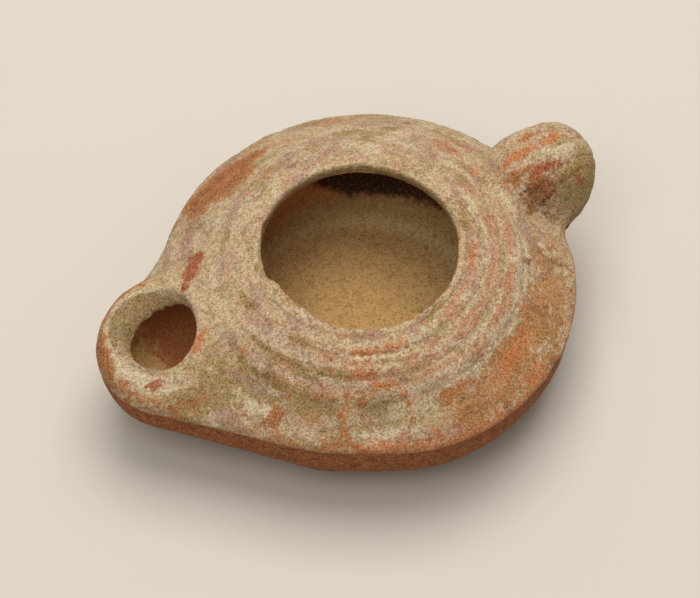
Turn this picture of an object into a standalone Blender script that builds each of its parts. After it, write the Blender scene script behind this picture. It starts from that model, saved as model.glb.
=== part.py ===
"""A mould-made pottery oil lamp, one hollow piece of fired clay.

It has a round body with a wide filling hole, a short nozzle with a wick hole, and a
solid knob handle. +Z is up, and the origin lies on the flat base under the middle of
the round body. The nozzle points to -X and the handle to +X. All lengths are in
millimetres until the finished mesh is scaled to metres.
"""
import math

import bmesh
import bpy
from mathutils import Vector

METRES = 0.001
CUT_CLEARANCE = 5.0

# The round body
BODY_RADIUS = 33.45
SEAM_HEIGHT = 16.0
RIM_HEIGHT = 26.7
BASE_RADIUS = 15.5
FOOT_HEIGHT = 0.8
FOOT_SPLAY = 0.7
BOWL_FULLNESS = 2.5
SHOULDER_BULGE = 1.5
NOZZLE_DRAWING = 0.65
FLAT_SPOT_DEPTH = 1.3
FLAT_SPOT_ANGLE = math.radians(-113)
FLAT_SPOT_WIDTH = math.radians(15)
SEAM_GAP = 0.25
LOWER_SHIFT_X = 0.05
LOWER_SHIFT_Y = 0.15

# The filling hole, which sits a little towards the nozzle
HOLE_RADIUS = 15.5
HOLE_SHIFT = 1.5
STEP_DEPTH = 1.1
STEP_START = math.radians(179)
STEP_RISE = math.radians(5)
STEP_FALL = math.radians(205)
STEP_END = math.radians(247)

# The nozzle and the bevelled wick hole
NOZZLE_RADIUS = 12.5
NOZZLE_REACH = 12.1
NOZZLE_SIDE = 0.0
FRONT_FILLET = 220.0
BACK_FILLET = 26.0
KEEL_FULLNESS = 3.4
KEEL_NARROWING = 0.15
KEEL_END_REACH = 0.6
NOZZLE_RISE = 3.2
NOZZLE_SLOPE = 0.08
NOZZLE_LEAN = 0.06
NOZZLE_STEEP_FLANK = 2.6
NOZZLE_GENTLE_FLANK = 6.4
NOZZLE_FLANK_TURN = 18.75
NOZZLE_BLEND = 2.5
WICK_LENGTH = 11.0
WICK_WIDTH = 9.4
WICK_FROM_TIP = 11.1
WICK_SIDE = 0.9
WICK_DEPTH = 10.0
BEVEL_DEPTH = 2.6
BEVEL_LENGTH = 14.4
BEVEL_WIDTH = 15.2
BEVEL_FORWARD = 1.7
BEVEL_SIDE = 1.1

# The knob handle
HANDLE_REACH = 7.6
HANDLE_SIDE = 2.5
HANDLE_TURN = math.radians(-11)
HANDLE_WIDTH = 13.2
HANDLE_ROOT_WIDTH = 11.0
HANDLE_ROOT_SINK = 5.2
HANDLE_ROOT_RISE = 8.0
HANDLE_ROOT_COVER = 1.1
HANDLE_ROOT_BLEND = 3.6
HANDLE_LENGTH = 21.0
HANDLE_HEIGHT = 28.6
HANDLE_TIP_HEIGHT = 23.0
HANDLE_SLOPE = 0.23
HANDLE_END = 8.5
HANDLE_KEEL_HEIGHT = 10.5
HANDLE_KEEL_RISE = 2.5
HANDLE_FLARE = -0.2
HANDLE_SHEAR = 0.34
HANDLE_SQUARENESS = 2.4

# Wall thicknesses
SIDE_WALL = 3.7
ROOF_WALL = 3.1
RIM_WALL = 2.4
FLOOR_WALL = 3.6
ROOF_SPRING = 0.5
RIM_UNDERCUT = 1.0

# The moulded rings round the filling hole and the dimples outside them
RING_PITCH = 3.1
FIRST_RING = 4.2
RING_COUNT = 3
RING_DEPTH = 0.45
LIP_DEPTH = 0.25
LIP_LINE = 1.4
LIP_WIDTH = 0.5
DIMPLE_COUNT = 8
DIMPLE_PITCH = math.radians(19.4)
FIRST_DIMPLE = math.radians(-146.7)
DIMPLE_FROM_SEAM = 5.6
DIMPLE_LENGTH = 9.4
DIMPLE_BREADTH = 7.2
DIMPLE_DEPTH = 0.75
BACK_RELIEF = 0.2

# Mesh density
SHARP_ANGLE = math.radians(38)
NOZZLE_STEPS = 14
FRONT_FILLET_STEPS = 9
BACK_FILLET_STEPS = 6
FRONT_STEPS = 37
BACK_STEPS = 31
FRONT_END = math.radians(350)
RING_STEPS = 3
SHOULDER_FRACTIONS = (0.14, 0.28, 0.42, 0.55, 0.67, 0.78, 0.87, 0.94, 0.98, 1.0)
BOWL_FRACTIONS = (0.07, 0.2, 0.36, 0.53, 0.7, 0.84, 0.94)
CAVITY_FRACTIONS = (0.97, 0.9, 0.78, 0.6, 0.4, 0.2, 0.0)
WICK_STEPS = 28
HANDLE_STEPS = 24
HANDLE_FRACTIONS = (0.0, 0.08, 0.16, 0.24, 0.32, 0.46, 0.6, 0.7, 0.78, 0.85, 0.91, 0.955, 0.985, 0.998)
ROOF_FRACTIONS = (0.12, 0.35, 0.65, 0.9)

# Places that follow from the sizes above
HOLE_CENTRE = Vector((-HOLE_SHIFT, 0.0))
BODY_CENTRE = Vector((0.0, 0.0))
NOZZLE_CENTRE = Vector((NOZZLE_RADIUS - BODY_RADIUS - NOZZLE_REACH, NOZZLE_SIDE))
NOZZLE_TIP = NOZZLE_CENTRE.x - NOZZLE_RADIUS
DIMPLE_RADIUS = BODY_RADIUS - DIMPLE_FROM_SEAM
LAST_RING = FIRST_RING + RING_PITCH * (RING_COUNT - 1)
HANDLE_AXIS = Vector((math.cos(HANDLE_TURN), math.sin(HANDLE_TURN)))
HANDLE_ACROSS = Vector((-HANDLE_AXIS.y, HANDLE_AXIS.x))
HANDLE_TIP = Vector((BODY_RADIUS + HANDLE_REACH, HANDLE_SIDE))


def clamp(value):
    """Limits a number to the range from 0 to 1."""
    return min(1.0, max(0.0, value))


def ease(value):
    """A soft step from 0 to 1."""
    v = clamp(value)
    return v * v * (3.0 - 2.0 * v)


def mix(start, end, share):
    """The value a given share of the way from start to end."""
    return start + (end - start) * share


def smooth_max(a, b, width):
    """The larger of two heights, with a fillet where they cross."""
    if width <= 0.0:
        return max(a, b)
    overlap = clamp(1.0 - abs(a - b) / width)
    return max(a, b) + overlap * overlap * width / 4.0


def quarter(value):
    """A quarter circle from 0 to 1, upright at its start and level at its end."""
    v = 1.0 - clamp(value)
    return math.sqrt(1.0 - v * v)


def touching_circle(centre_a, radius_a, centre_b, radius_b, radius, side):
    """The centre of a circle that touches two others from outside."""
    to_a = radius_a + radius
    to_b = radius_b + radius
    between = centre_b - centre_a
    gap = between.length
    along = (gap * gap + to_a * to_a - to_b * to_b) / (2.0 * gap)
    off = math.sqrt(max(0.0, to_a * to_a - along * along))
    direction = between / gap
    return centre_a + direction * along + Vector((-direction.y, direction.x)) * off * side


def heading(start, end):
    """The direction from one plan point to another, as an angle."""
    step = end - start
    return math.atan2(step.y, step.x)


def arc(centre, radius, start, end, count):
    """Points along an arc, without its last one."""
    points = []
    for index in range(count):
        angle = mix(start, end, index / count)
        points.append(centre + Vector((math.cos(angle), math.sin(angle))) * radius)
    return points


def flat_spot(point):
    """How far the potter's hand has pressed the front of the body in."""
    aside = (math.atan2(point.y, point.x) - FLAT_SPOT_ANGLE) / FLAT_SPOT_WIDTH
    return FLAT_SPOT_DEPTH * math.exp(-aside * aside)


def outline(body, nozzle, reach, front_fillet, back_fillet):
    """The lamp seen from above, anticlockwise from the nozzle's tip."""
    tip_circle = Vector((nozzle - body - reach, NOZZLE_SIDE))
    front = touching_circle(BODY_CENTRE, body, tip_circle, nozzle, front_fillet, 1)
    back = touching_circle(BODY_CENTRE, body, tip_circle, nozzle, back_fillet, -1)
    turn = 2.0 * math.pi
    half = NOZZLE_STEPS // 2
    nozzle_front = heading(tip_circle, front) % turn
    nozzle_back = heading(tip_circle, back)
    body_front = heading(BODY_CENTRE, front) % turn
    body_back = heading(BODY_CENTRE, back) + turn
    points = arc(tip_circle, nozzle, math.pi, nozzle_front, half)
    points += arc(front, front_fillet, nozzle_front - math.pi, body_front - math.pi, FRONT_FILLET_STEPS)
    points += arc(BODY_CENTRE, body, body_front, FRONT_END, FRONT_STEPS)
    points += arc(BODY_CENTRE, body, FRONT_END, body_back, BACK_STEPS)
    points += arc(back, back_fillet, body_back - math.pi, nozzle_back + math.pi, BACK_FILLET_STEPS)
    points += arc(tip_circle, nozzle, nozzle_back, math.pi, half)
    return [point * (1.0 - flat_spot(point) / BODY_RADIUS) for point in points]


def seam(inset):
    """The outline where the two halves meet, moved inwards by a wall."""
    body = BODY_RADIUS - inset
    nozzle = NOZZLE_RADIUS - inset
    return outline(body, nozzle, NOZZLE_REACH, FRONT_FILLET + inset, BACK_FILLET + inset)


def front_share(point):
    """How sharp the moulded relief is: full at the front, worn at the back."""
    return mix(BACK_RELIEF, 1.0, ease(0.5 - point.y / BODY_RADIUS))


def ring_relief(point):
    """Depth of the moulded rings round the filling hole."""
    out = (point - HOLE_CENTRE).length - HOLE_RADIUS
    depth = LIP_DEPTH * math.exp(-((out - LIP_LINE) / LIP_WIDTH) ** 2)
    if FIRST_RING - RING_PITCH / 2 < out < LAST_RING + RING_PITCH / 2:
        wave = 0.5 + 0.5 * math.cos(2.0 * math.pi * (out - FIRST_RING) / RING_PITCH)
        depth += RING_DEPTH * wave * wave
    return depth * front_share(point)


def dimple_relief(point):
    """Depth of the row of shallow dimples along the front of the shoulder."""
    from_centre = point - HOLE_CENTRE
    radius = from_centre.length
    angle = math.atan2(from_centre.y, from_centre.x)
    depth = 0.0
    for index in range(DIMPLE_COUNT):
        aside = (angle - FIRST_DIMPLE - index * DIMPLE_PITCH) * DIMPLE_RADIUS / (DIMPLE_LENGTH / 2)
        along = (radius - DIMPLE_RADIUS) / (DIMPLE_BREADTH / 2)
        spread = aside * aside + along * along
        if spread < 1.0:
            depth += DIMPLE_DEPTH * (1.0 - spread) ** 2
    return depth


def shoulder(point, reach):
    """The vaulted shoulder, from the filling hole down to the seam, which is at reach."""
    width = reach - HOLE_RADIUS
    fall = clamp(((point - HOLE_CENTRE).length - HOLE_RADIUS) / width)
    bulge = SHOULDER_BULGE * ((BODY_RADIUS - HOLE_RADIUS) / width) ** NOZZLE_DRAWING
    return RIM_HEIGHT - (RIM_HEIGHT - SEAM_HEIGHT) * fall ** bulge


def nozzle_crest(point):
    """The height of the nozzle's rim, which climbs to the body and leans to the front."""
    climb = NOZZLE_SLOPE * (point.x - NOZZLE_TIP)
    return SEAM_HEIGHT + NOZZLE_RISE + climb + NOZZLE_LEAN * (point.y - NOZZLE_SIDE)


def nozzle_top(point):
    """The thick rounded nozzle, steep at its tip and back and gentle at its front."""
    off = point - NOZZLE_CENTRE
    if point.x > HOLE_CENTRE.x:
        return SEAM_HEIGHT
    inset = NOZZLE_RADIUS - (off.length if off.x < 0.0 else abs(off.y))
    steep = max(ease(0.5 + off.y / NOZZLE_FLANK_TURN), ease(-off.x / NOZZLE_RADIUS))
    flank = mix(NOZZLE_GENTLE_FLANK, NOZZLE_STEEP_FLANK, steep)
    swell = quarter(inset / flank) if inset > 0.0 else inset
    return SEAM_HEIGHT + (nozzle_crest(point) - SEAM_HEIGHT) * swell


def top_height(point, reach, relief):
    """The upper half's height over a plan point, with or without its moulded relief."""
    vault = shoulder(point, reach)
    if relief:
        vault -= ring_relief(point) + dimple_relief(point)
    left = reach - (point - HOLE_CENTRE).length
    blend = NOZZLE_BLEND * clamp(left / (2.0 * NOZZLE_BLEND))
    return smooth_max(vault, nozzle_top(point), blend)


def radial_points(edge, radii, fractions):
    """Points on a straight line from the filling hole's middle out to one edge point."""
    span = edge - HOLE_CENTRE
    reach = span.length
    direction = span / reach
    rest = [mix(radii[-1], reach, share) for share in fractions]
    return [(HOLE_CENTRE + direction * radius, reach) for radius in list(radii) + rest]


def upper_rings():
    """Rings of the outer skin from the seam up to a lid over the filling hole."""
    radii = [HOLE_RADIUS - 2.0 * STEP_DEPTH, HOLE_RADIUS + LIP_LINE, HOLE_RADIUS + mix(LIP_LINE, FIRST_RING, 0.5)]
    steps = RING_STEPS * (RING_COUNT - 1)
    radii += [HOLE_RADIUS + mix(FIRST_RING, LAST_RING, index / steps) for index in range(steps + 1)]
    columns = []
    for edge in seam(0.0):
        column = []
        for point, reach in radial_points(edge, radii, SHOULDER_FRACTIONS):
            column.append(Vector((point.x, point.y, top_height(point, reach, True))))
        column[-1].z = SEAM_HEIGHT
        columns.append(column[::-1])
    return [list(ring) for ring in zip(*columns)]


def bowl_ring(inset, depth, top, bottom):
    """A level ring of the lower half: depth is 0 at the seam and close to 1 at the base."""
    full = (1.0 - depth ** BOWL_FULLNESS) ** (1.0 / BOWL_FULLNESS)
    body = mix(BASE_RADIUS + FOOT_SPLAY, BODY_RADIUS, full) - inset
    narrow = (NOZZLE_RADIUS - inset) * (1.0 - KEEL_NARROWING * depth * depth) * body / (BODY_RADIUS - inset)
    reach = mix(KEEL_END_REACH, NOZZLE_REACH, 1.0 - depth ** KEEL_FULLNESS)
    plan = outline(body, narrow, reach, FRONT_FILLET + inset, BACK_FILLET + inset)
    return [Vector((point.x, point.y, mix(top, bottom, depth))) for point in plan]


def lower_rings():
    """Rings of the outer skin from the base up to the seam."""
    shift = Vector((LOWER_SHIFT_X, LOWER_SHIFT_Y, 0.0))
    rings = []
    for depth in (0.0,) + BOWL_FRACTIONS:
        ring = bowl_ring(0.0, depth, SEAM_HEIGHT - SEAM_GAP, FOOT_HEIGHT)
        rings.append([point + shift for point in ring])
    for radius, height in ((BASE_RADIUS + FOOT_SPLAY, FOOT_HEIGHT), (BASE_RADIUS, 0.0)):
        rings.append([Vector((*(edge.normalized() * radius), height)) for edge in seam(0.0)])
    return rings[::-1]


def hole_radius(angle):
    """The filling hole's radius, smaller where its trimmed edge still stands proud."""
    turned = angle % (2.0 * math.pi)
    proud = ease((turned - STEP_START) / STEP_RISE)
    proud *= 1.0 - ease((turned - STEP_FALL) / (STEP_END - STEP_FALL))
    return HOLE_RADIUS - STEP_DEPTH * proud


def cavity_rings():
    """Rings of the hollow, from the floor up through the filling hole."""
    spring = SEAM_HEIGHT - ROOF_SPRING
    rings = [bowl_ring(SIDE_WALL, depth, spring, FLOOR_WALL) for depth in CAVITY_FRACTIONS]
    walls = seam(SIDE_WALL)
    for share in ROOF_FRACTIONS:
        ring = []
        for wall, edge in zip(walls, seam(0.0)):
            start = wall - HOLE_CENTRE
            point = HOLE_CENTRE + start.normalized() * mix(start.length, HOLE_RADIUS + RIM_UNDERCUT, share)
            roof = top_height(point, (edge - HOLE_CENTRE).length, False) - mix(ROOF_WALL, RIM_WALL, share)
            ring.append(Vector((point.x, point.y, roof)))
        rings.append(ring)
    for height in (RIM_HEIGHT - RIM_WALL, RIM_HEIGHT + CUT_CLEARANCE):
        ring = []
        for wall in walls:
            angle = heading(HOLE_CENTRE, wall)
            point = HOLE_CENTRE + Vector((math.cos(angle), math.sin(angle))) * hole_radius(angle)
            ring.append(Vector((point.x, point.y, height)))
        rings.append(ring)
    return rings


def wick_rings():
    """Rings of the wick hole's cutter: a throat below and a wide bevel above."""
    throat = Vector((NOZZLE_TIP + WICK_FROM_TIP, WICK_SIDE))
    bevel = throat + Vector((-BEVEL_FORWARD, BEVEL_SIDE))
    levels = (
        (throat, WICK_LENGTH, WICK_WIDTH, -WICK_DEPTH),
        (throat, WICK_LENGTH, WICK_WIDTH, -BEVEL_DEPTH),
        (bevel, BEVEL_LENGTH, BEVEL_WIDTH, 0.0),
        (bevel, BEVEL_LENGTH, BEVEL_WIDTH, 2.0 * CUT_CLEARANCE),
    )
    rings = []
    for centre, length, width, rise in levels:
        ring = []
        for index in range(WICK_STEPS):
            angle = 2.0 * math.pi * index / WICK_STEPS
            point = centre + Vector((math.cos(angle) * length / 2, math.sin(angle) * width / 2))
            ring.append(Vector((point.x, point.y, nozzle_crest(point) + rise)))
        rings.append(ring)
    return rings


def handle_rings():
    """Rings of the knob handle, from inside the shoulder out to its tip."""
    half = HANDLE_WIDTH / 2
    rings = []
    for share in HANDLE_FRACTIONS:
        along = share * HANDLE_LENGTH
        to_tip = HANDLE_LENGTH - along
        end = quarter(to_tip / HANDLE_END)
        crest = HANDLE_HEIGHT - HANDLE_SLOPE * max(0.0, to_tip - HANDLE_END / 2)
        crest -= HANDLE_ROOT_SINK * (1.0 - ease(along / HANDLE_ROOT_RISE))
        cover = shoulder(HANDLE_TIP - HANDLE_AXIS * to_tip, BODY_RADIUS + HOLE_SHIFT) - HANDLE_ROOT_COVER
        crest = smooth_max(crest, cover, HANDLE_ROOT_BLEND)
        keel = HANDLE_KEEL_HEIGHT + HANDLE_KEEL_RISE * ease(1.0 - to_tip / HANDLE_END)
        top = mix(HANDLE_TIP_HEIGHT, crest, end)
        bottom = mix(HANDLE_TIP_HEIGHT, keel, end)
        width = mix(HANDLE_ROOT_WIDTH / 2, half, ease(share)) * end
        middle = (top + bottom) / 2
        tall = (top - bottom) / 2
        ring = []
        for index in range(HANDLE_STEPS):
            angle = 2.0 * math.pi * index / HANDLE_STEPS
            side = math.copysign(abs(math.cos(angle)) ** (2.0 / HANDLE_SQUARENESS), math.cos(angle))
            rise = math.copysign(abs(math.sin(angle)) ** (2.0 / HANDLE_SQUARENESS), math.sin(angle))
            across = side * width * (1.0 - HANDLE_FLARE * rise) + HANDLE_SHEAR * rise * tall
            plan = HANDLE_TIP - HANDLE_AXIS * to_tip + HANDLE_ACROSS * across
            ring.append(Vector((plan.x, plan.y, middle + rise * tall)))
        rings.append(ring)
    return rings


def loft(name, rings, smooth):
    """One closed skin through a stack of rings, with a flat cap at each end."""
    mesh = bpy.data.meshes.new(name)
    work = bmesh.new()
    loops = [[work.verts.new(point * METRES) for point in ring] for ring in rings]
    for low, high in zip(loops, loops[1:]):
        for index in range(len(low)):
            after = (index + 1) % len(low)
            work.faces.new((low[index], low[after], high[after], high[index]))
    work.faces.new(loops[0][::-1])
    work.faces.new(loops[-1])
    bmesh.ops.recalc_face_normals(work, faces=work.faces)
    work.to_mesh(mesh)
    work.free()
    if smooth:
        mesh.shade_smooth()
        mesh.set_sharp_from_angle(angle=SHARP_ANGLE)
    shape = bpy.data.objects.new(name, mesh)
    bpy.context.scene.collection.objects.link(shape)
    return shape


def tool(shape):
    """Marks a shape that only takes part in a Boolean."""
    shape.hide_render = True
    shape.display_type = "WIRE"
    return shape


def combine(shape, other, operation):
    """Adds a Boolean that joins another shape to this one or cuts it away."""
    step = shape.modifiers.new(other.name, "BOOLEAN")
    step.operation = operation
    step.solver = "EXACT"
    step.object = tool(other)


def fired_clay():
    """The plain buff clay body."""
    clay = bpy.data.materials.new("fired_clay")
    clay.use_nodes = True
    shader = clay.node_tree.nodes["Principled BSDF"]
    shader.inputs["Base Color"].default_value = (0.40, 0.27, 0.15, 1.0)
    shader.inputs["Roughness"].default_value = 0.88
    shader.inputs["Metallic"].default_value = 0.0
    return clay


def build_lamp():
    """The body with its handle joined on and its hollow and wick hole cut out."""
    lamp = loft("oil_lamp", lower_rings() + upper_rings(), True)
    combine(lamp, loft("handle_shape", handle_rings(), True), "UNION")
    combine(lamp, loft("cavity_shape", cavity_rings(), False), "DIFFERENCE")
    combine(lamp, loft("wick_shape", wick_rings(), False), "DIFFERENCE")
    lamp.data.materials.append(fired_clay())
    return lamp


def main():
    for old in list(bpy.data.objects):
        bpy.data.objects.remove(old)
    build_lamp()


main()
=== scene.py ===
"""Looks for a mould-made pottery oil lamp of fired clay, buff and encrusted, with worn slip.

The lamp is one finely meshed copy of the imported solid. The relief that a mould, a
potter's hand and long burial leave is moved into its surface here: grooves, dimples,
grain, pits and a crack. Lengths are in millimetres.
"""

import math
from types import SimpleNamespace

import bmesh
import bpy
import numpy as np
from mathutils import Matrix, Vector, noise


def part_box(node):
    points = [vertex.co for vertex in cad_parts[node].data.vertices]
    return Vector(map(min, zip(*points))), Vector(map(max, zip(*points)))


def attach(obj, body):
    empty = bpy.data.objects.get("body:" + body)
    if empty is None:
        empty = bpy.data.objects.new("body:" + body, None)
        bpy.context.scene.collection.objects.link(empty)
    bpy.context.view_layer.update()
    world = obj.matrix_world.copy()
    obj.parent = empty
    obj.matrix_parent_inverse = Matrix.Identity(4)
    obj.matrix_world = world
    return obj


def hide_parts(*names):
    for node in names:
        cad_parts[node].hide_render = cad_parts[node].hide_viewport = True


MM = 0.001

# The lamp's own places
HOLE_X = -1.5
BODY_RADIUS = 33.45
SEAM_HEIGHT = 16.0
FLOOR_HEIGHT = 3.6
DIMPLE_RADIUS = 27.85
NOZZLE_X = -33.05
NOZZLE_RADIUS = 12.5
NOZZLE_TIP = -45.55
NOZZLE_CREST = 19.2
NOZZLE_SLOPE = 0.08
NOZZLE_LEAN = 0.06
BEVEL_DEPTH = 2.6
BEVEL_X = -36.15
BEVEL_Y = 2.0
BEVEL_HALF_LENGTH = 7.2
BEVEL_HALF_WIDTH = 7.6
HANDLE_X = 25.0
HANDLE_FALL = 0.6
HANDLE_FRONT = -5.0

# The hollow: what lies inside these limits and faces inwards, up or down is its wall, floor or
# roof. Facing inwards is judged from a middle line that follows the channel to the nozzle
CHANNEL_FOLLOW = 0.9
LEAST_DISTANCE = 0.1
CHANNEL_X = -26.0
BEVEL_MARGIN = 0.1
WALL_FACING = -0.25
WALL_TOP = 18.5
WALL_REACH = 31.0
FLOOR_FACING = 0.4
FLOOR_TOP = 9.0
ROOF_FACING = -0.2
ROOF_BOTTOM = 13.0
ROOF_HEIGHT = 34.7
ROOF_FALL = 0.6
THROAT_TOP = 24.6
THROAT_RADIUS = 17.5

# Zones: where each one starts, and where it is complete
FACING_UP = (-0.1, 0.4)
SHOULDER_BOTTOM = SEAM_HEIGHT - 2.0
NOZZLE_EDGE = (NOZZLE_RADIUS + 1.5, NOZZLE_RADIUS - 2.5)
NOZZLE_START = -24.0
HANDLE_START = (HANDLE_X, HANDLE_X + 2.0)
HANDLE_ABOVE = (22.0, 24.0)
FRONT = (BODY_RADIUS / 2, -BODY_RADIUS / 2)
LEFT = (-2.0, -14.0)
FOOT = (0.0, 1.5)
LOWER_HALF = (SEAM_HEIGHT - 0.3, SEAM_HEIGHT - 1.0)
BELOW_SEAM = (10.5, 13.5)
BELOW_SEAM_FRONT = (12.0, -8.0)

# Mesh
WELD = 0.01 * MM
VOXEL = 0.495 * MM
SMOOTHING = 0.5
SMOOTHING_ROUNDS = 2

# The handle's foot, which is worn smooth near a line round it
ROOT_LINE = (
    (27.5, 13.6),
    (23.5, 12.6),
    (21.8, 9.6),
    (22.5, 6.9),
    (23.6, 3.9),
    (24.5, 2.1),
    (25.9, -1.3),
    (28.7, -4.2),
    (31.8, -5.4),
)
ROOT_REACH = 2.6
ROOT_ROUNDS = 40
ROOT_BOTTOM = 14.5
ROOT_INNER_RADIUS = 18.0
ROOT_LEAST = 0.02

# Unevenness of the skin: size, seed
LUMPS = (14.0, 1)
KNOBS = (4.5, 2)
GRIT = (1.7, 3)
FINE_GRIT = (0.95, 4)
PITTING = (2.6, 5)
CRUST_RUNS = (7.0, 15)
LUMP_HEIGHT = 0.20
KNOB_HEIGHT = 0.09
GRIT_HEIGHT = 0.06
FINE_GRIT_HEIGHT = 0.04
INNER_GRIT_HEIGHT = 0.05
PITTING_START = 0.38
PITTING_LIMIT = 0.30
PITTING_DEPTH = 0.7
PITTING_SHADE = 2.5

# Grooves round the filling hole: radius, half width, depth, and how much the back keeps
GROOVES = (
    (16.9, 0.34, 0.11, 0.50),
    (19.7, 0.38, 0.12, 0.30),
    (22.8, 0.38, 0.11, 0.20),
    (25.9, 0.36, 0.05, 0.00),
)
KNOB_WANDER = 0.25
GRIT_WANDER = 0.12
GROOVE_STEADY = 0.75
GROOVE_BROKEN = 0.5
GROOVE_BREAK = 0.3
GROOVE_SHADE = 0.9
GROOVE_CREST = 0.7
CREST_ASIDE = 1.2
CREST_WIDTH = 0.7

# Crust fills the moulded rings, on the left most of all
RING_PLACES = (19.7, 22.8, 25.9)
RING_WIDTH = 0.9
RING_FILL = 0.12
LEFT_FILL = 0.22

# Dimples on the front of the shoulder: degrees round the filling hole, length, breadth, depth
DIMPLES = (
    (-146.7, 8.6, 6.6, 0.30),
    (-127.3, 8.0, 6.0, 0.10),
    (-107.9, 9.8, 7.0, 0.55),
    (-88.5, 8.0, 6.0, 0.20),
    (-69.1, 8.6, 6.4, 0.32),
    (-49.7, 8.6, 6.4, 0.34),
    (-30.3, 8.4, 6.4, 0.32),
    (-10.9, 8.0, 6.0, 0.24),
)
DIMPLE_ROUNDNESS = 1.5
DIMPLE_SHADE = 0.9
DIMPLE_EDGE = 1.1
DIMPLE_EDGE_WIDTH = 0.16
DIMPLE_EDGE_HEIGHT = 0.30

# The crack on the right of the shoulder
CRACK = ((26.2, -8.2), (26.8, -9.3), (28.1, -10.8), (30.0, -10.7), (30.6, -11.8))
CRACK_WIDTH = 0.28
CRACK_DEPTH = 0.45
CRACK_SHADE = 1.5

# Single pits: x, y, radius, depth
PITS = (
    (-23.0, -14.2, 0.40, 0.55),
    (-22.5, -13.4, 0.35, 0.50),
    (-22.1, -14.5, 0.30, 0.35),
    (-6.2, -20.6, 0.45, 0.30),
    (8.8, -22.0, 0.50, 0.30),
    (-29.0, -10.2, 0.45, 0.25),
)
PIT_SHADE = 2.0

# The worn edge below the seam
UNDERCUT = 0.28
SEAM_WANDER = 0.35

# Creases along the handle, and the thumb's dent in its side
HANDLE_TIP_X = 41.0
HANDLE_TIP_Y = 2.5
HANDLE_ACROSS = (-0.19, 0.98)
CREASES = (-1.4, 0.4, 3.2)
CREASE_WANDER = 0.4
CREASE_WIDTH = 0.35
CREASE_DEPTH = 0.12
CREASE_SHADE = 0.8
DENT_PLACE = (31.0, -0.4, 21.8)
DENT_SIZE = (3.6, 2.4, 3.2)
DENT_DEPTH = 0.75

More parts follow.
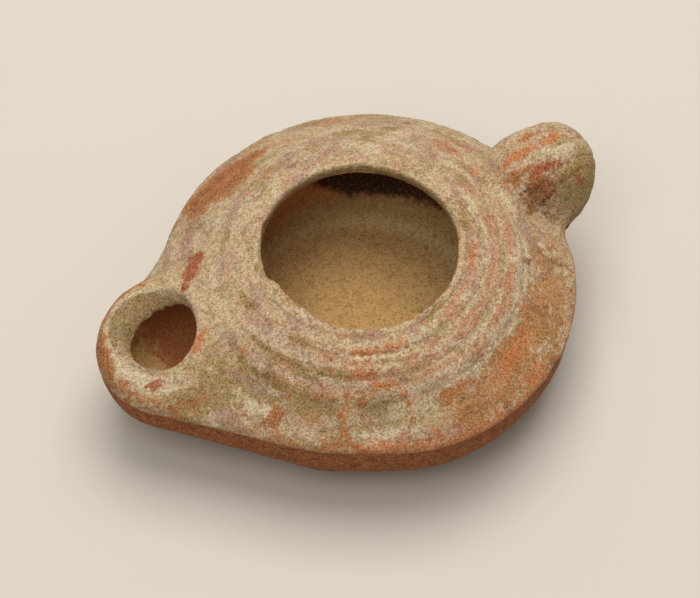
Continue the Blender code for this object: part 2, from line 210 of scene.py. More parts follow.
# Where slip and stains stay: tone, x, y, length, breadth, turn in degrees, strength
PATCHES = (
    # Left shoulder and back
    ("slip", -17.6, 23.6, 5.4, 3.3, 28, 1.00),
    ("slip", -12.0, 26.2, 4.4, 2.2, 14, 0.95),
    ("slip", -20.2, 22.8, 2.4, 1.7, 45, 0.75),
    ("slip", -13.6, 22.8, 3.4, 1.8, 20, 0.70),
    ("slip", -8.2, 27.6, 2.6, 1.2, 6, 0.50),
    ("orange", -14.2, 24.6, 3.4, 1.0, 22, 0.55),
    ("slip", -9.2, 20.6, 1.5, 0.8, 24, 0.60),
    ("pink", 6.2, 30.2, 5.0, 1.2, -6, 0.70),
    ("pink", 20.7, 15.2, 3.6, 1.8, -45, 0.80),
    ("slip", 21.0, 14.8, 1.4, 0.8, -45, 0.50),
    ("orange", 22.0, 8.4, 0.9, 0.8, 0, 0.85),
    ("red", -25.2, 10.5, 1.6, 1.5, 48, 0.95),
    ("red", -27.1, 8.0, 1.8, 1.3, 50, 0.95),
    ("red", -28.8, 5.9, 0.9, 0.7, 50, 0.80),
    ("cream", 9.6, 17.6, 9.0, 1.6, 30, 0.40),
    ("olive", -4.0, 19.0, 6.0, 2.0, 12, 0.35),
    # Nozzle
    ("orange", -30.3, -4.0, 2.2, 0.9, 39, 0.90),
    ("red", -39.0, -7.1, 1.8, 0.8, -15, 0.85),
    ("slip", -44.2, 2.0, 1.2, 4.2, 0, 0.65),
    ("slip", -37.4, 11.2, 3.4, 1.0, 18, 0.60),
    ("orange", -33.6, 10.4, 2.4, 0.7, 0, 0.55),
    ("olive", -35.3, -11.2, 4.0, 2.0, -28, 0.85),
    ("olive", -28.6, -11.6, 7.0, 4.2, -50, 0.62),
    ("violet", -26.4, -6.0, 1.9, 1.6, 0, 0.75),
    ("violet", -30.4, -15.4, 2.6, 1.1, -22, 0.65),
    # Front left
    ("orange", -24.9, -8.8, 0.8, 0.7, 0, 0.85),
    ("slip", -20.7, -15.0, 1.2, 0.8, 0, 0.80),
    ("slip", -24.1, -19.4, 2.1, 1.0, 67, 0.85),
    ("slip", -16.4, -20.4, 3.0, 1.6, -30, 0.40),
    ("olive", -20.5, -16.5, 6.5, 4.0, -35, 0.62),
    ("pink", -18.8, -8.0, 5.0, 1.2, -64, 0.50),
    ("pink", -12.6, -17.0, 5.0, 1.0, -42, 0.55),
    # Painted highlight: a pale crescent on the near inner slope of the dimple, where light from behind falls
    ("cream", -25.4, -17.4, 3.4, 1.5, -35, 0.44),
    # Rings at the front
    ("orange", -8.5, -17.8, 2.3, 0.9, -20, 0.90),
    ("orange", -4.0, -18.6, 1.8, 0.8, -10, 0.85),
    ("orange", -9.4, -20.4, 2.8, 1.1, -22, 1.00),
    ("cream", -6.4, -19.5, 4.6, 0.5, -16, 0.75),
    ("pink", 0.0, -22.4, 5.0, 1.4, 2, 0.60),
    ("pink", 7.3, -17.2, 1.7, 1.2, 20, 0.90),
    # Dimple in the middle of the front
    ("orange", -11.3, -23.6, 0.9, 0.7, 40, 0.65),
    ("orange", -8.9, -23.2, 1.3, 0.6, 12, 0.75),
    ("slip", -6.2, -23.8, 1.2, 0.5, -18, 0.80),
    ("slip", -5.0, -24.8, 0.8, 0.6, -40, 0.60),
    ("olive", -8.2, -26.0, 2.6, 2.0, 0, 0.55),
    # Painted highlight: a pale crescent on the near inner slope of the dimple, where light from behind falls
    ("cream", -11.0, -28.0, 3.2, 0.8, -25, 0.85),
    ("red", -13.4, -22.0, 0.5, 0.45, 0, 0.90),
    ("umber", -7.0, -24.9, 0.5, 0.4, 0, 0.80),
    # Front right
    ("slip", 1.4, -27.4, 2.0, 1.3, 5, 0.90),
    ("ochre", 4.0, -30.4, 1.9, 1.7, 0, 1.00),
    ("ochre", 5.6, -28.6, 5.0, 3.0, 8, 0.60),
    ("ochre", 12.4, -26.6, 5.5, 2.8, 28, 0.75),
    ("ochre", 19.4, -21.2, 5.6, 3.8, 48, 0.75),
    ("ochre", 24.4, -15.0, 5.6, 3.4, 62, 0.65),
    ("ochre", 27.6, -8.0, 4.6, 3.0, 75, 0.45),
    ("orange", 15.4, -22.8, 3.6, 1.7, 38, 0.75),
    ("orange", 12.4, -25.6, 2.2, 1.1, 30, 0.60),
    ("orange", 16.4, -27.4, 2.2, 1.0, 40, 0.70),
    ("umber", 21.5, -19.2, 0.8, 0.5, 40, 0.80),
    ("umber", 22.6, -18.0, 0.6, 0.4, 60, 0.80),
    # Right
    ("cream", 17.9, -0.1, 1.3, 0.7, 67, 0.80),
    ("pink", 19.6, -4.8, 4.0, 0.9, 74, 0.95),
    ("pink", 21.3, -6.4, 3.4, 0.8, 74, 0.85),
    ("pink", 16.6, -14.2, 2.5, 0.9, 55, 0.85),
    ("pink", 12.7, -18.2, 2.5, 1.0, 40, 0.75),
    ("pink", 9.1, -22.9, 1.4, 0.9, 30, 0.75),
    ("orange", 13.8, -8.6, 3.4, 0.6, 60, 0.70),
    ("cream", 23.1, -6.4, 4.0, 0.6, 73, 0.65),
    ("cream", 20.4, -12.4, 3.6, 0.6, 62, 0.65),
    ("cream", 13.7, -20.4, 2.2, 1.1, 40, 0.60),
    ("umber", 23.0, -10.1, 0.9, 0.7, 0, 0.80),
    # Handle
    ("orange", 28.8, 6.3, 3.0, 1.1, 2, 0.95),
    ("orange", 35.0, 6.5, 1.8, 0.9, 0, 0.95),
    ("slip", 31.2, 8.6, 2.4, 0.8, 0, 0.85),
    ("cream", 32.8, 4.3, 3.4, 0.7, 2, 1.00),
    ("red", 31.0, 2.6, 2.4, 0.8, 4, 0.95),
    ("red", 33.8, 1.8, 0.9, 0.7, 0, 0.70),
    ("slip", 27.4, 3.6, 2.4, 1.2, 10, 0.60),
    ("slip", 30.0, 0.6, 3.0, 1.7, -8, 0.95),
    ("umber", 29.6, -0.4, 3.8, 2.2, -10, 0.55),
    ("olive", 35.8, -0.8, 3.8, 2.6, -20, 0.90),
    ("olive", 38.8, 1.6, 2.2, 3.2, 0, 0.60),
    ("red", 36.4, -1.0, 0.8, 0.6, 0, 0.60),
)
PATCH_BOTTOM = SEAM_HEIGHT - 1.5
TONES = ("slip", "orange", "red", "ochre", "pink", "violet", "cream", "olive", "umber")

# Tones along the nozzle's rim: tone, radius, half width, the zone's start and end in x, strength
NOZZLE_RINGS = (
    ("slip", 11.8, 1.4, -30.0, -34.0, 0.50),
    # The crest's own cream tone, strengthened with painted light where the edge falls in shade
    ("cream", 9.3, 1.2, -34.0, -39.0, 1.00),
)

# Tones along the moulded rings: tone, middle and half width in degrees, place beside the ring,
# half width, strength
RING_TONES = (
    ("pink", -40.0, 62.0, -1.5, 0.8, 0.60),
    ("cream", -40.0, 62.0, 0.0, 0.7, 0.50),
    ("violet", 215.0, 45.0, -1.5, 0.8, 0.50),
    ("olive", 215.0, 45.0, 0.0, 0.7, 0.35),
)

# Streaks that run round the shoulder: tone, radial size, seed and strength
STREAKS = (
    ("cream", 1.6, 11, 0.38),
    ("violet", 2.1, 12, 0.62),
    ("olive", 2.6, 13, 0.52),
    ("pink", 1.5, 14, 0.42),
)
STREAK_STRETCH = 3.6
STREAK_RISE = (0.02, 0.44)

# Slip along the seam, brightest at the front
SEAM_SLIP_WIDTH = 1.7
SEAM_SLIP_BOTTOM = SEAM_HEIGHT - 0.8
SEAM_SLIP_LEFT = -30.0
SEAM_SLIP_LEAST = 0.18
SEAM_SLIP_MORE = 0.50
SEAM_SLIP_ANGLE = -88.0
SEAM_SLIP_SPREAD = 42.0

# Crust, thinner where hands wore the right and the front
CRUST_SHARE = 0.84
CRUST_WEAR = 0.20
CRUST_LUMPS = 0.25
WORN_RIGHT = (-8.0, 18.0)
WORN_RIGHT_FRONT = (12.0, -12.0)
WORN_FRONT = (-6.0, -22.0)
WORN_FRONT_SHARE = 0.5
CRUST_RUN_SHARE = 0.75
CRUST_RUN_BACK = (-4.0, 20.0)
CRUST_RUN_RISE = (0.0, 0.4)

# Stain on the inner edge of the rim
RIM_STAIN = (16.2, 15.7)
RIM_STAIN_BELOW = (26.5, 26.1)
RIM_STAIN_BOTTOM = 20.0

# Tones of the hollow, among them a painted shadow under the far right of the rim and painted light on its
# walls
SCALE_RADIUS = 20.5
SCALE_WIDTH = 2.4
SCALE_FRONT = -2.0
SCALE_TOP = FLOOR_HEIGHT + 4.0
# Painted shadow: the inner walls above the floor go dark toward the far right, where the rim's shadow falls
RIM_SHADOW_RISE = (4.7, 7.1)
RIM_SHADOW_ACROSS = (1.5, 0.5)
RIM_SHADOW_SPREAD = (8.0, 26.0)
# Painted light: a bright orange on the inner walls and the left of the floor, short of the nozzle's channel
PAINTED_LIGHT_RISE = (4.5, 7.5)
PAINTED_LIGHT_LEFT = (-14.0, -19.0)
PAINTED_LIGHT_END = (-29.0, -25.0)
EMBER_TURN = 0.4
EMBER_RISE = (-37.0, -28.0)
EMBER_END = (-20.0, -26.0)

# The bevel round the wick hole: an olive-brown tone, darkest at the back, where painted shade is added
BEVEL_EDGE = (1.0, 0.88)
BEVEL_LEAST = 0.45
BEVEL_SHADE_BACK = (-1.0, 6.0)

# The share of the skin that fine specks cover
SPECK_SHARE = 0.50
SPECK_LESS_INSIDE = 0.22
SPECK_LESS_BELOW = 0.16

# Layers of colour over the clay, from the lowest up: the mask it follows, or the share of the
# whole lamp that it covers, the size of its ragged noise in millimetres, how ragged its edge
# is, how much of the mask it needs, its strength, its colour and how it mixes
LAYERS = (
    ("crust", 2.4, 2.8, 0.22, 0.88, "#c2ae8a", "MIX"),
    ("crust", 1.2, 3.0, 0.40, 0.50, "#cfbf9f", "MIX"),
    (0.40, 6.5, 2.8, 0.32, 0.62, "#a08f5e", "MIX"),
    (0.38, 4.2, 3.0, 0.34, 0.62, "#b08e7c", "MIX"),
    (0.37, 3.0, 3.0, 0.36, 0.62, "#cfc5ad", "MIX"),
    (0.40, 1.3, 3.2, 0.40, 0.36, "#8e7046", "MIX"),
    ("olive", 2.5, 1.8, 0.22, 0.75, "#927a40", "MIX"),
    ("violet", 1.8, 1.9, 0.22, 0.72, "#aa8a7c", "MIX"),
    ("ochre", 1.6, 2.4, 0.22, 0.78, "#ab753c", "MIX"),
    ("pink", 1.2, 2.4, 0.22, 0.76, "#bd8666", "MIX"),
    ("cream", 1.0, 2.2, 0.22, 0.82, "#d3c8ac", "MIX"),
    ("slip", 1.3, 2.4, 0.20, 0.92, "#ae6b35", "MIX"),
    ("slip", 0.8, 3.2, 0.75, 0.66, "#854a21", "MIX"),
    ("orange", 0.9, 2.6, 0.20, 0.88, "#bf743e", "MIX"),
    ("red", 0.8, 1.8, 0.20, 0.94, "#9c4c26", "MIX"),
    ("umber", 1.0, 2.2, 0.22, 0.74, "#74431b", "MIX"),
    # Olive-brown bevel, with painted shade that grows toward its back
    ("bevel", 1.2, 2.0, 0.35, 0.74, "#846a33", "MIX"),
    # Painted shade in the grooves, dimples, crack, pits, pitting and creases
    ("hollow", 0.9, 1.8, 0.30, 0.48, "#b09470", "MULTIPLY"),
    ("crest", 0.9, 2.4, 0.35, 0.55, "#d6c7a8", "MIX"),
    ("under", 1.6, 1.7, 0.18, 0.97, "#93501c", "MIX"),
    ("under", 2.2, 2.6, 0.86, 0.55, "#ad6430", "MIX"),
    ("under", 1.2, 2.8, 0.88, 0.62, "#5c3015", "MIX"),
    # The hollow's own clay tone, made lighter with painted light so the deep hollow looks lit
    ("inside", 3.0, 0.3, 0.35, 1.00, "#cba56b", "MIX"),
    # Painted light on the inner walls and the left of the floor
    ("wall", 2.6, 1.6, 0.22, 0.95, "#e6a05e", "MIX"),
    ("ember", 1.8, 2.4, 0.24, 0.85, "#a85c34", "MIX"),
    ("inside", 1.6, 2.8, 0.95, 0.40, "#a87a3c", "MIX"),
    ("scale", 0.9, 2.8, 0.60, 0.45, "#e2cc96", "MIX"),
    # Painted shadow under the far right of the rim
    ("painted_rim_shadow", 2.4, 1.2, 0.22, 0.95, "#3d2110", "MIX"),
    ("skin", 0.70, 3.6, 0.44, 0.40, "#c2ab90", "MULTIPLY"),
    ("skin", 0.36, 4.2, 0.40, 0.60, "#b39b80", "MULTIPLY"),
    ("skin", 0.30, 4.2, 0.38, 0.80, "#6e6452", "SCREEN"),
)
CLAY = "#b5835a"
LAYER_SHIFT = (13.0, 29.0, 7.0)
PATCH_DETAIL = 6.0
PATCH_ROUGHNESS = 0.68
SPECK_SIZE = 0.5
SPECK_DETAIL = 1.5
EDGE_SOFTNESS = 0.45

# Grain of the clay as bump: size, height
GRAINS = ((1.1, 0.20), (0.5, 0.20), (0.25, 0.14))
GRAIN_DETAIL = 4.0
GRAIN_ROUGHNESS = 0.65
GRAIN_STRENGTH = 0.9

# The studio: a floor of matt paper, and lights by azimuth and elevation in degrees, distance
# and size in metres, power in watts, colour
FLOOR_HALF = 1.5
FLOOR_COLOUR = "#c9c6c0"
ROOM_COLOUR = "#fffaf2"
ROOM_STRENGTH = 0.38
LIGHTS = (
    ("key", 150.0, 73.0, 0.6, 0.45, 3.1, "#fff6ea"),
    ("fill", -50.0, 64.0, 0.7, 0.35, 1.3, "#fff8f0"),
)

# The photograph's frame and camera
IMAGE_WIDTH = 700
IMAGE_HEIGHT = 598
SENSOR_WIDTH = 36.0
CAMERA_DISTANCE = 450.0
CAMERA_AZIMUTH = -23.2
CAMERA_ELEVATION = 55.5
CAMERA_TARGET = Vector((-1.4, 0.0, 20.0))
PIXELS_PER_MM = 6.3
AXIS_COLUMN = 360.2
AXIS_ROW = 268.4


def linear(code):
    """An sRGB hex colour as the linear colour a shader takes."""
    parts = [int(code[i:i + 2], 16) / 255.0 for i in (1, 3, 5)]
    return [p / 12.92 if p <= 0.04045 else ((p + 0.055) / 1.055) ** 2.4 for p in parts] + [1.0]


def rise(value, start, end):
    """A soft step from 0 at start to 1 at end."""
    share = np.clip((value - start) / (end - start), 0.0, 1.0)
    return share * share * (3.0 - 2.0 * share)


def bell(value, middle=0.0, width=1.0):
    """1 in the middle, fading out on both sides."""
    away = (value - middle) / width
    return np.exp(-away * away)


def noise_field(points, size, seed):
    """Smooth noise from about -1 to 1, with lumps of the given size."""
    shift = Vector((seed * 17.3, seed * 5.9, seed * 11.1))
    return np.array([noise.noise(Vector(point) / size + shift) for point in points])


def read_vectors(items, name):
    """A mesh's points or normals as rows of three numbers."""
    values = np.empty(len(items) * 3, np.float32)
    items.foreach_get(name, values)
    return values.reshape(-1, 3).astype(float)


def polyline_distance(x, y, line):
    """How far plan points lie from a line through several points."""
    best = np.full(len(x), np.inf)
    for (x0, y0), (x1, y1) in zip(line, line[1:]):
        dx = x1 - x0
        dy = y1 - y0
        share = np.clip(((x - x0) * dx + (y - y0) * dy) / (dx * dx + dy * dy), 0.0, 1.0)
        best = np.minimum(best, np.hypot(x - x0 - share * dx, y - y0 - share * dy))
    return best


def turn_from(x, y, degrees):
    """How far points lie round the filling hole from a direction, from -180 to 180 degrees."""
    angle = np.degrees(np.arctan2(y, x - HOLE_X))
    return (angle - degrees + 180.0) % 360.0 - 180.0


def direction(azimuth, elevation):
    """Where a camera or light stands, seen from the lamp. Azimuth 0 is the front, 90 the handle's side."""
    turn = math.radians(azimuth)
    tilt = math.radians(elevation)
    return Vector((math.sin(turn) * math.cos(tilt), -math.cos(turn) * math.cos(tilt), math.sin(tilt)))


def smooth(work, verts, rounds):
    """Evens out the given vertices several times."""
    for _ in range(rounds):
        bmesh.ops.smooth_vert(
            work,
            verts=verts,
            factor=SMOOTHING,
            use_axis_x=True,
            use_axis_y=True,
            use_axis_z=True,
        )


def wear_handle_root(work):
    """Fills the corner between the handle and the shoulder, as a potter's finger does."""
    work.verts.ensure_lookup_table()
    x, y, z = (np.array([vert.co for vert in work.verts]) / MM).T
    near = bell(polyline_distance(x, y, ROOT_LINE), width=ROOT_REACH) * (z > ROOT_BOTTOM)
    near[np.hypot(x, y) < ROOT_INNER_RADIUS] = 0.0
    chosen = [work.verts[index] for index in np.flatnonzero(near > ROOT_LEAST)]
    start = {vert: vert.co.copy() for vert in chosen}
    smooth(work, chosen, ROOT_ROUNDS)
    for vert in chosen:
        vert.co = start[vert].lerp(vert.co, near[vert.index])


def fine_copy(node):
    """A closed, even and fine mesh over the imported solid, with its sharp edges worn round."""
    mesh = node.data.copy()
    work = bmesh.new()
    work.from_mesh(mesh)
    bmesh.ops.remove_doubles(work, verts=work.verts, dist=WELD)
    work.to_mesh(mesh)
    work.free()
    lamp = bpy.data.objects.new("fired_clay_lamp", mesh)
    bpy.context.scene.collection.objects.link(lamp)
    step = lamp.modifiers.new("even_mesh", "REMESH")
    step.mode = "VOXEL"
    step.voxel_size = VOXEL
    even = bpy.data.meshes.new_from_object(lamp.evaluated_get(bpy.context.evaluated_depsgraph_get()))
    lamp.modifiers.clear()
    work = bmesh.new()
    work.from_mesh(even)
    smooth(work, work.verts, SMOOTHING_ROUNDS)
    wear_handle_root(work)
    work.to_mesh(even)
    work.free()
    even.shade_smooth()
    lamp.data = even
    return lamp


def inside_share(points, normals):
    """1 on the walls of the hollow and 0 on the outer skin."""
    x, y, z = points.T
    axis_x = np.where(x < 0.0, np.maximum(x * CHANNEL_FOLLOW, NOZZLE_X), 0.0)
    across = np.maximum(np.hypot(x - axis_x, y), LEAST_DISTANCE)
    outward = ((x - axis_x) * normals[:, 0] + y * normals[:, 1]) / across
    bevel = NOZZLE_CREST + NOZZLE_SLOPE * (x - NOZZLE_TIP) + NOZZLE_LEAN * y - BEVEL_DEPTH
    wall_top = np.where(x < CHANNEL_X, bevel - BEVEL_MARGIN, WALL_TOP)
    from_middle = np.hypot(x, y)
    wall = (outward < WALL_FACING) & (z < wall_top) & ((x <= 0.0) | (from_middle <= WALL_REACH))
    floor = (normals[:, 2] > FLOOR_FACING) & (z < FLOOR_TOP)
    below_shoulder = (x < 0.0) | (z < ROOF_HEIGHT - ROOF_FALL * from_middle)
    roof = (normals[:, 2] < ROOF_FACING) & (z > ROOF_BOTTOM) & below_shoulder
    throat = (outward < ROOF_FACING) & (z < THROAT_TOP) & (np.hypot(x - HOLE_X, y) < THROAT_RADIUS)
    return (wall | floor | roof | throat).astype(float)


def read_skin(mesh):
    """The lamp's points with the zones they lie in, their unevenness, and relief still at nothing."""
    points = read_vectors(mesh.vertices, "co") / MM
    normals = read_vectors(mesh.vertices, "normal")
    x, y, z = points.T
    skin = SimpleNamespace(points=points, normals=normals, x=x, y=y, z=z)
    skin.inner = inside_share(points, normals)
    skin.outer = 1.0 - skin.inner
    skin.radius = np.hypot(x - HOLE_X, y)
    skin.front = rise(y, *FRONT)
    skin.top = skin.outer * rise(normals[:, 2], *FACING_UP) * (z > SHOULDER_BOTTOM)
    on_nozzle = rise(np.hypot(x - NOZZLE_X, y), *NOZZLE_EDGE) * (x < NOZZLE_START)
    over_handle = rise(z + HANDLE_FALL * (x - HANDLE_X), *HANDLE_ABOVE)
    skin.handle = rise(x, *HANDLE_START) * over_handle * (y > HANDLE_FRONT)
    skin.shoulder = skin.top * (1.0 - on_nozzle) * (1.0 - skin.handle)
    skin.lump = noise_field(points, *LUMPS)
    skin.knob = noise_field(points, *KNOBS)
    skin.grit = noise_field(points, *GRIT)
    skin.wander = skin.radius + KNOB_WANDER * skin.knob + GRIT_WANDER * skin.grit
    skin.below = skin.outer * rise(z - SEAM_WANDER * skin.knob, *LOWER_HALF)
    skin.lift = np.zeros(len(x))
    skin.hollow = np.zeros(len(x))
    skin.crest = np.zeros(len(x))
    skin.dimple_edge = np.zeros(len(x))
    return skin


def sink(skin, share, depth, shade):
    """Lowers a part of the skin and notes how much painted shade darkens it."""
    skin.lift -= depth * share
    skin.hollow += shade * share


def cut_grooves(skin):
    """Grooves along the moulded rings, broken and weaker at the back, over the crust that fills the rings."""
    broken = GROOVE_STEADY + GROOVE_BROKEN * np.clip(skin.knob + GROOVE_BREAK, 0.0, 1.0)
    for middle, width, depth, kept in GROOVES:
        share = (kept + (1.0 - kept) * skin.front) * broken * skin.shoulder
        sink(skin, share * bell(skin.wander, middle, width), depth, GROOVE_SHADE)
        skin.crest += GROOVE_CREST * share * bell(skin.wander, middle - CREST_ASIDE, CREST_WIDTH)
    fill = (RING_FILL + LEFT_FILL * rise(skin.x, *LEFT)) * skin.front * skin.shoulder
    for middle in RING_PLACES:
        skin.lift += fill * bell(skin.radius, middle, RING_WIDTH)


def press_dimples(skin):
    """Shallow thumb-like dimples with a slightly raised edge."""
    for degrees, length, breadth, depth in DIMPLES:
        turn = np.radians(turn_from(skin.x, skin.y, degrees))
        aside = turn * DIMPLE_RADIUS / (length / 2)
        along = (skin.radius - DIMPLE_RADIUS) / (breadth / 2)
        away = np.hypot(aside, along)
        bowl = np.clip(1.0 - away * away, 0.0, 1.0) ** DIMPLE_ROUNDNESS
        edge = depth * bell(away, DIMPLE_EDGE, DIMPLE_EDGE_WIDTH) * skin.shoulder
        sink(skin, depth * bowl * skin.shoulder, 1.0, DIMPLE_SHADE)
        skin.lift += DIMPLE_EDGE_HEIGHT * edge
        skin.dimple_edge = np.maximum(skin.dimple_edge, edge)


def wear_skin(skin):
    """The crack, the pits, the creases and dent of the handle, and the uneven, pitted clay."""
    x, y, z = skin.points.T
    crack = bell(polyline_distance(x, y, CRACK), width=CRACK_WIDTH) * skin.shoulder
    sink(skin, crack, CRACK_DEPTH, CRACK_SHADE)
    for pit_x, pit_y, size, depth in PITS:
        sink(skin, bell(np.hypot(x - pit_x, y - pit_y), width=size) * skin.top, depth, PIT_SHADE)
    across = HANDLE_ACROSS[0] * (x - HANDLE_TIP_X) + HANDLE_ACROSS[1] * (y - HANDLE_TIP_Y)
    for place in CREASES:
        crease = bell(across - CREASE_WANDER * skin.knob, place, CREASE_WIDTH) * skin.handle * skin.outer
        sink(skin, crease, CREASE_DEPTH, CREASE_SHADE)
    dent = bell(np.linalg.norm((skin.points - DENT_PLACE) / DENT_SIZE, axis=1)) * skin.outer
    skin.lift -= DENT_DEPTH * dent
    pitted = np.clip(noise_field(skin.points, *PITTING) - PITTING_START, 0.0, PITTING_LIMIT)
    sink(skin, pitted * skin.outer, PITTING_DEPTH, PITTING_SHADE)
    fine = noise_field(skin.points, *FINE_GRIT)
    skin.lift += LUMP_HEIGHT * skin.lump + KNOB_HEIGHT * skin.knob
    skin.lift += skin.outer * (GRIT_HEIGHT * skin.grit + FINE_GRIT_HEIGHT * fine)
    skin.lift += skin.inner * INNER_GRIT_HEIGHT * skin.grit
    skin.lift -= UNDERCUT * skin.below * rise(z, *BELOW_SEAM) * rise(y, *BELOW_SEAM_FRONT)


def move_skin(mesh, skin):
    """Moves the points out or in by the relief, but not at the base, nor out of the solid's box."""
    lift = skin.lift * rise(skin.z, *FOOT)
    moved = np.clip((skin.points + skin.normals * lift[:, None]) * MM, *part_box("oil_lamp"))
    mesh.vertices.foreach_set("co", moved.astype(np.float32).ravel())
    mesh.update()


def slip_and_stains(skin):
    """Where each tone of slip, stain and crust lies on the outer skin."""
    x, y, z = skin.points.T
    tones = {tone: np.zeros(len(x)) for tone in TONES}
    for tone, at_x, at_y, length, breadth, turn, strength in PATCHES:
        along_x = math.cos(math.radians(turn))
        along_y = math.sin(math.radians(turn))
        along = ((x - at_x) * along_x + (y - at_y) * along_y) / length
        across = ((y - at_y) * along_x - (x - at_x) * along_y) / breadth
        tones[tone] += strength * bell(np.hypot(along, across)) * skin.outer * (z > PATCH_BOTTOM)
    ring = np.hypot(x - NOZZLE_X, y)
    for tone, middle, width, start, end, strength in NOZZLE_RINGS:
        tones[tone] += strength * bell(ring, middle, width) * rise(x, start, end) * skin.outer
    for tone, degrees, spread, aside, width, strength in RING_TONES:
        share = strength * bell(turn_from(x, y, degrees), width=spread) * skin.shoulder
        tones[tone] += share * sum(bell(skin.wander, place + aside, width) for place in RING_PLACES)
    shrink = DIMPLE_RADIUS / skin.radius
    unrolled = np.stack([(x - HOLE_X) * shrink, y * shrink, skin.radius * STREAK_STRETCH], axis=1)
    for tone, size, seed, strength in STREAKS:
        streak = noise_field(unrolled, size * STREAK_STRETCH, seed)
        tones[tone] += strength * rise(streak, *STREAK_RISE) * skin.shoulder
    tones["slip"] += skin.dimple_edge
    seam = skin.outer * skin.front * bell(z, SEAM_HEIGHT, SEAM_SLIP_WIDTH)
    seam *= (z > SEAM_SLIP_BOTTOM) * (x > SEAM_SLIP_LEFT)
    brighter = SEAM_SLIP_MORE * bell(turn_from(x, y, SEAM_SLIP_ANGLE), width=SEAM_SLIP_SPREAD)
    tones["orange"] += (SEAM_SLIP_LEAST + brighter) * seam
    rim = rise(skin.radius, *RIM_STAIN) * rise(z, *RIM_STAIN_BELOW) * (z > RIM_STAIN_BOTTOM)
    tones["olive"] += rim * skin.outer
    return tones


def shape_tones(skin):
    """Tones that follow the lamp's own shape: crust, lower body, bevel, hollow and speckle."""
    x, y, z = skin.points.T
    worn = rise(x, *WORN_RIGHT) * rise(y, *WORN_RIGHT_FRONT) + WORN_FRONT_SHARE * rise(y, *WORN_FRONT)
    runs = rise(y, *CRUST_RUN_BACK) * rise(noise_field(skin.points, *CRUST_RUNS), *CRUST_RUN_RISE)
    # Painted shadow under the far right of the rim, on the inner walls above the floor
    painted_rim_shadow = RIM_SHADOW_ACROSS[0] * x + RIM_SHADOW_ACROSS[1] * y
    # Painted light on the inner walls and on the left of the floor
    wall = np.maximum(rise(z, *PAINTED_LIGHT_RISE), rise(x, *PAINTED_LIGHT_LEFT))
    bevel = np.hypot((x - BEVEL_X) / BEVEL_HALF_LENGTH, (y - BEVEL_Y) / BEVEL_HALF_WIDTH)
    # Painted shade toward the back of the bevel, over its own olive-brown tone
    bevel_tone_and_shade = BEVEL_LEAST + (1.0 - BEVEL_LEAST) * rise(y, *BEVEL_SHADE_BACK)
    ring = bell(skin.radius, SCALE_RADIUS, SCALE_WIDTH)
    return {
        "crust": CRUST_SHARE - CRUST_WEAR * np.clip(worn, 0.0, 1.0) + CRUST_LUMPS * skin.lump,
        "under": skin.below * (1.0 - CRUST_RUN_SHARE * runs),
        "bevel": skin.outer * rise(bevel, *BEVEL_EDGE) * bevel_tone_and_shade,
        "hollow": skin.hollow,
        "crest": skin.crest,
        "inside": skin.inner,
        "scale": skin.inner * ring * (y > SCALE_FRONT) * (z < SCALE_TOP),
        "painted_rim_shadow": skin.inner * rise(z, *RIM_SHADOW_RISE) * rise(painted_rim_shadow, *RIM_SHADOW_SPREAD),
        "wall": skin.inner * wall * rise(x, *PAINTED_LIGHT_END),
        "ember": skin.inner * rise(x + EMBER_TURN * y, *EMBER_RISE) * rise(x, *EMBER_END),
        "skin": SPECK_SHARE - SPECK_LESS_INSIDE * skin.inner - SPECK_LESS_BELOW * skin.below,
    }


def carve(lamp):
    """Moves the surface in and out, and stores where each tone lies."""
    mesh = lamp.data
    skin = read_skin(mesh)
    cut_grooves(skin)
    press_dimples(skin)
    wear_skin(skin)
    move_skin(mesh, skin)
    for tone, values in (slip_and_stains(skin) | shape_tones(skin)).items():
        layer = mesh.attributes.new(tone, "FLOAT", "POINT")
        layer.data.foreach_set("value", np.clip(values, 0.0, 1.0).astype(np.float32))


def add(tree, kind, inputs=None, **settings):
    """Adds one node. An input takes a plain value or another node's output."""
    made = tree.nodes.new(kind)
    for name, value in settings.items():
        setattr(made, name, value)
    for name, value in (inputs or {}).items():
        if isinstance(value, bpy.types.NodeSocket):
            tree.links.new(value, made.inputs[name])
        else:
            made.inputs[name].default_value = value
    return made


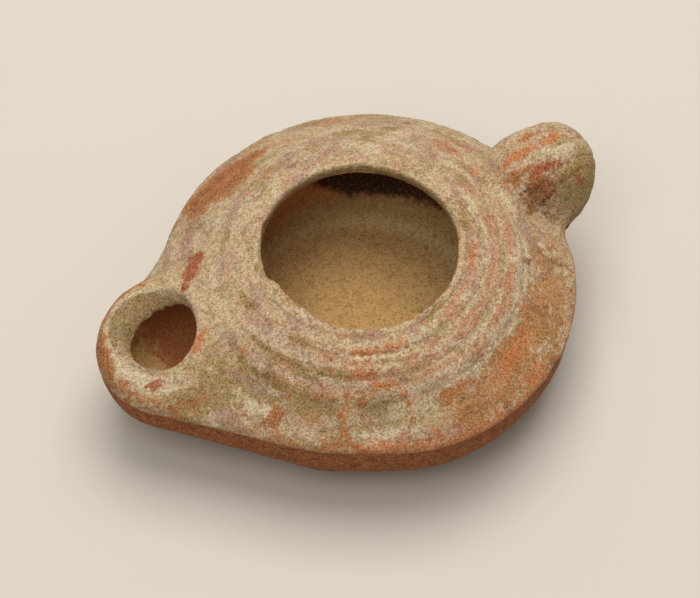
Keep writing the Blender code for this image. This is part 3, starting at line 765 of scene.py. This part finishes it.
def fired_earthenware():
    """Porous low-fired clay, fully matt. Its broken slip and burial crust show as ragged patches."""
    clay = bpy.data.materials.new("fired_earthenware")
    clay.use_nodes = True
    tree = clay.node_tree
    shader = tree.nodes["Principled BSDF"]
    place = add(tree, "ShaderNodeTexCoord").outputs["Object"]
    colour = linear(CLAY)
    shift_x, shift_y, shift_z = (length * MM for length in LAYER_SHIFT)
    for index, (mask, size, ragged, need, strength, code, blend) in enumerate(LAYERS):
        shift = add(
            tree,
            "ShaderNodeMapping",
            {"Vector": place, "Location": (shift_x * index, shift_y * index, shift_z)},
        )
        grain = add(
            tree,
            "ShaderNodeTexNoise",
            {
                "Vector": shift.outputs["Vector"],
                "Scale": 1.0 / (size * MM),
                "Detail": SPECK_DETAIL if size < SPECK_SIZE else PATCH_DETAIL,
                "Roughness": PATCH_ROUGHNESS,
            },
        )
        base = mask
        if isinstance(mask, str):
            base = add(tree, "ShaderNodeAttribute", attribute_name=mask).outputs["Fac"]
        reach = add(
            tree,
            "ShaderNodeMath",
            {0: grain.outputs["Fac"], 1: ragged, 2: base},
            operation="MULTIPLY_ADD",
        )
        start = need + ragged / 2
        cover = add(
            tree,
            "ShaderNodeMapRange",
            {
                "Value": reach.outputs[0],
                "From Min": start,
                "From Max": start + EDGE_SOFTNESS,
                "To Max": strength,
            },
            interpolation_type="SMOOTHSTEP",
        )
        mixed = add(
            tree,
            "ShaderNodeMix",
            {0: cover.outputs[0], 6: colour, 7: linear(code)},
            data_type="RGBA",
            blend_type=blend,
        )
        colour = mixed.outputs[2]
    tree.links.new(colour, shader.inputs["Base Color"])
    shader.inputs["Roughness"].default_value = 0.9
    shader.inputs["IOR"].default_value = 1.45
    shader.inputs["Specular IOR Level"].default_value = 0.35
    normal = None
    for size, height in GRAINS:
        grain = add(
            tree,
            "ShaderNodeTexNoise",
            {
                "Vector": place,
                "Scale": 1.0 / (size * MM),
                "Detail": GRAIN_DETAIL,
                "Roughness": GRAIN_ROUGHNESS,
            },
        )
        step = add(
            tree,
            "ShaderNodeBump",
            {"Height": grain.outputs["Fac"], "Distance": height * MM, "Strength": GRAIN_STRENGTH},
        )
        if normal:
            tree.links.new(normal, step.inputs["Normal"])
        normal = step.outputs["Normal"]
    tree.links.new(normal, shader.inputs["Normal"])
    return clay


def set_floor():
    """A plain pale floor of matt paper, which soaks up light without a gleam."""
    work = bmesh.new()
    bmesh.ops.create_grid(work, x_segments=1, y_segments=1, size=FLOOR_HALF)
    mesh = bpy.data.meshes.new("floor")
    work.to_mesh(mesh)
    work.free()
    floor = bpy.data.objects.new("floor", mesh)
    bpy.context.scene.collection.objects.link(floor)
    paper = bpy.data.materials.new("matt_paper")
    paper.use_nodes = True
    shader = paper.node_tree.nodes["Principled BSDF"]
    shader.inputs["Base Color"].default_value = linear(FLOOR_COLOUR)
    shader.inputs["Roughness"].default_value = 0.95
    mesh.materials.append(paper)


def set_lights():
    """A soft pale room, with a key light from behind on the right and a fill from the front left."""
    scene = bpy.context.scene
    scene.view_settings.view_transform = "Standard"
    world = bpy.data.worlds.new("studio")
    world.use_nodes = True
    background = world.node_tree.nodes["Background"]
    background.inputs["Color"].default_value = linear(ROOM_COLOUR)
    background.inputs["Strength"].default_value = ROOM_STRENGTH
    scene.world = world
    for name, azimuth, elevation, distance, size, power, code in LIGHTS:
        light = bpy.data.lights.new(name, "AREA")
        light.size = size
        light.energy = power
        light.color = linear(code)[:3]
        holder = bpy.data.objects.new(name, light)
        away = direction(azimuth, elevation)
        holder.location = away * distance
        holder.rotation_euler = away.to_track_quat("Z", "Y").to_euler()
        scene.collection.objects.link(holder)


def set_camera():
    """The photograph's camera."""
    view = bpy.data.cameras.new("camera")
    view.sensor_width = SENSOR_WIDTH
    view.lens = PIXELS_PER_MM * CAMERA_DISTANCE / IMAGE_WIDTH * SENSOR_WIDTH
    view.shift_x = (IMAGE_WIDTH / 2 - AXIS_COLUMN) / IMAGE_WIDTH
    view.shift_y = (AXIS_ROW - IMAGE_HEIGHT / 2) / IMAGE_WIDTH
    camera = bpy.data.objects.new("camera", view)
    away = direction(CAMERA_AZIMUTH, CAMERA_ELEVATION)
    camera.location = (CAMERA_TARGET + away * CAMERA_DISTANCE) * MM
    camera.rotation_euler = (math.radians(90.0 - CAMERA_ELEVATION), 0.0, math.radians(CAMERA_AZIMUTH))
    bpy.context.scene.collection.objects.link(camera)
    bpy.context.scene.camera = camera


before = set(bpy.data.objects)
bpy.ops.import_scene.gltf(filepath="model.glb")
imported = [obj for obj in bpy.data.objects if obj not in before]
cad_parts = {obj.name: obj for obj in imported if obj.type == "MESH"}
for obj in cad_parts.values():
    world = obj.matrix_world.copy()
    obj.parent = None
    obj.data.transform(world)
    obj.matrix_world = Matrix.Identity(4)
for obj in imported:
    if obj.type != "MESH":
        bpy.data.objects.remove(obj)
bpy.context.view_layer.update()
lamp = fine_copy(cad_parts["oil_lamp"])
carve(lamp)
lamp.data.materials.clear()
lamp.data.materials.append(fired_earthenware())
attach(lamp, "root")
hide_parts("oil_lamp")
set_floor()
set_lights()
set_camera()
